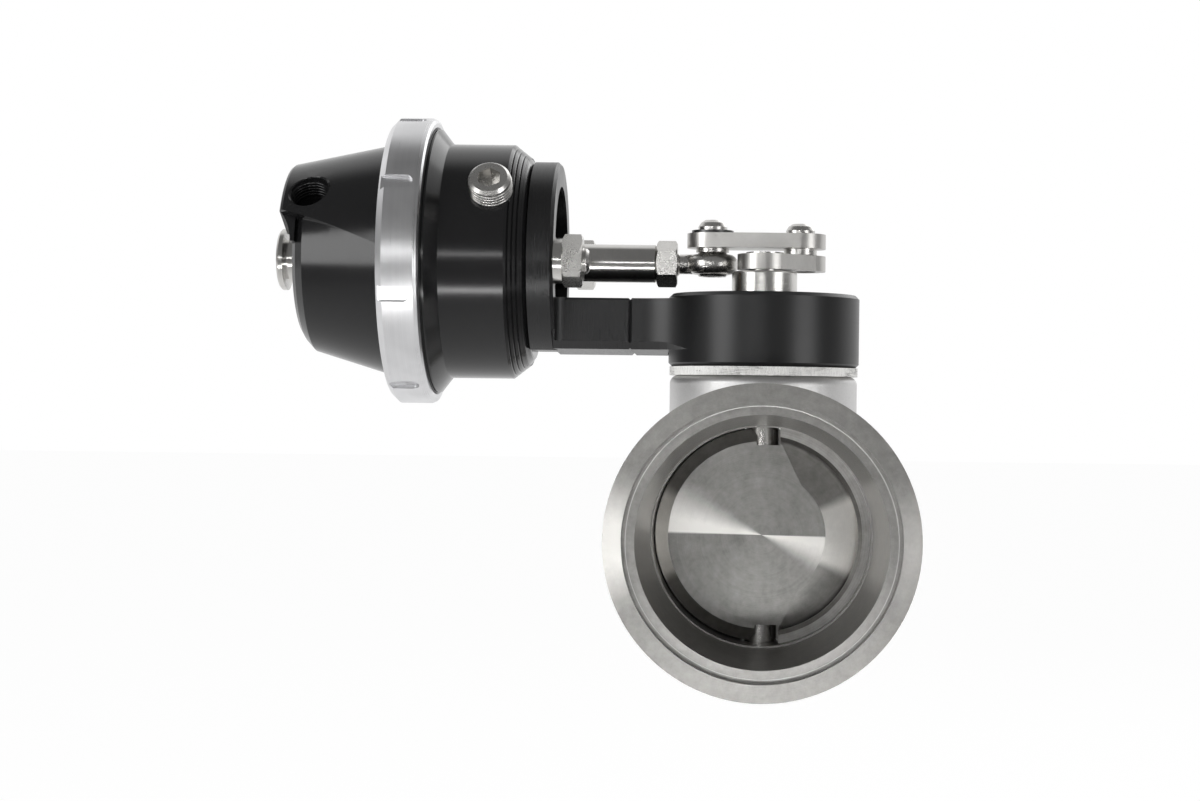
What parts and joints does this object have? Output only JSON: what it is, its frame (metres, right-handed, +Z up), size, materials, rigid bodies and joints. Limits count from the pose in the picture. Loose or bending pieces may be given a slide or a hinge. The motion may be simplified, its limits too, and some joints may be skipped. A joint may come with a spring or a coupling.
{
  "type": "turbo wastegate",
  "caption": "Butterfly wastegate: flanged round valve body, disc on a cross shaft, crank and link, and a spring diaphragm actuator on a side bracket.",
  "frame": {"origin": "centre of the inlet flange face, on the axis of the exhaust bore", "axes": "+Y along the bore from inlet to outlet, +Z up the valve shaft to the levers, actuator on -X"},
  "size_m": [0.1565, 0.0782, 0.1381],
  "materials": {
    "cast_stainless": "cast and bead blasted, flanges and bore turned bright",
    "machined_stainless": "fine turned and brushed",
    "fastener_steel": "bright stainless",
    "dark_steel": "dark oxide",
    "black_anodised": "black anodised, satin",
    "satin_aluminium": "clear anodised, satin",
    "white_ceramic": "matt white, crazed at the edge",
    "bush_bronze": "plain",
    "seal_rubber": "matt black",
    "spring_steel": "drawn wire"
  },
  "bodies": {
    "housing": {"valve_body": "cast_stainless", "upper_bush": "bush_bronze", "lower_bush": "bush_bronze", "end_plug": "fastener_steel", "heat_gasket": "white_ceramic", "hub_bracket": "black_anodised", "hub_screws": "fastener_steel", "shaft_gland": "machined_stainless", "shaft_seals": "seal_rubber", "actuator_mount": "black_anodised", "arm_screws": "fastener_steel", "mount_studs": "fastener_steel", "stud_washers": "fastener_steel", "stud_nuts": "fastener_steel", "actuator_can": "black_anodised", "rod_bush": "bush_bronze", "rod_seal": "seal_rubber", "port_plug": "fastener_steel", "actuator_cap": "black_anodised", "locking_collar": "satin_aluminium", "spring_adjuster": "fastener_steel", "spring_seat": "satin_aluminium", "return_spring": "spring_steel", "diaphragm": "seal_rubber"},
    "butterfly": {"valve_shaft": "machined_stainless", "valve_disc": "machined_stainless", "disc_screws": "fastener_steel", "crank_lever": "machined_stainless", "crank_screw": "fastener_steel"},
    "actuator_stem": {"actuator_rod": "fastener_steel", "backing_plate": "satin_aluminium", "piston": "satin_aluminium", "piston_nut": "fastener_steel", "jam_nut": "fastener_steel", "rod_end": "fastener_steel"},
    "link": {"link_plate": "machined_stainless", "link_spacers": "fastener_steel", "link_washer": "dark_steel", "rod_bolt": "fastener_steel", "crank_bolt": "fastener_steel", "rod_end_ball": "fastener_steel"}
  },
  "joints": [
    {"name": "shaft_turn", "type": "hinge", "parent": "housing", "child": "butterfly", "pos_m": [0, 0.036, 0], "axis": [0, 0, 1], "range_deg": [0, 70], "stiffness_Nm_per_rad": 0.227, "springref_deg": -32.95},
    {"name": "rod_slide", "type": "slide", "parent": "housing", "child": "actuator_stem", "axis": [-1, 0, 0], "range_m": [0, 0.0107], "deforming": ["return_spring", "diaphragm"]},
    {"name": "link_turn", "type": "hinge", "parent": "actuator_stem", "child": "link", "pos_m": [-0.01295, 0.043, 0.0662], "axis": [0, 0, 1], "range_deg": [0, 15]}
  ],
  "couplings": [
    {"joint": "rod_slide", "follows": "shaft_turn", "m_per_rad": 0.0087},
    {"joint": "link_turn", "follows": "shaft_turn", "ratio": 0.21}
  ]
}
